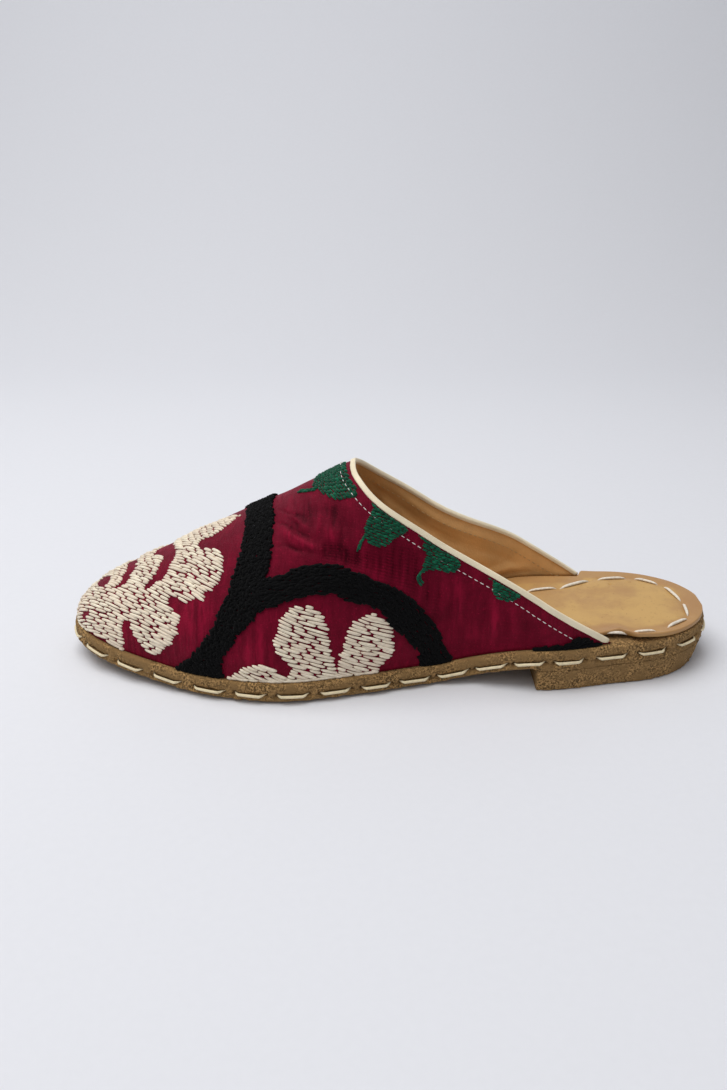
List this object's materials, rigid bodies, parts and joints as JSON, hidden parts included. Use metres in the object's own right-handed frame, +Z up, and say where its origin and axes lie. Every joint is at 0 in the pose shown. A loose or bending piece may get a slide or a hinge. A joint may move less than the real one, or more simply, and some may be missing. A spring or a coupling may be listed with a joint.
{
  "type": "slip-on mule shoe",
  "caption": "Backless closed-toe slip-on shoe for the left foot with an embroidered cloth upper, a stitched leather sole and a low heel.",
  "frame": {"origin": "centre of the bounding box at floor height, under the arch", "axes": "+Z up, +X from the toe to the heel, +Y towards the instep side, -Y towards the outer side of the left foot"},
  "size_m": [0.268, 0.095, 0.0848],
  "materials": {
    "sole_suede": "brown suede, rough",
    "insole_leather": "tan, smooth, lightly polished",
    "upper_cloth": "wine-red cotton with yarn embroidery",
    "binding_leather": "cream, smooth"
  },
  "bodies": {
    "root": {"outsole": "sole_suede", "midsole": "sole_suede", "heel_lift": "sole_suede", "insole": "insole_leather", "upper": "upper_cloth", "collar_binding": "binding_leather"}
  },
  "joints": []
}
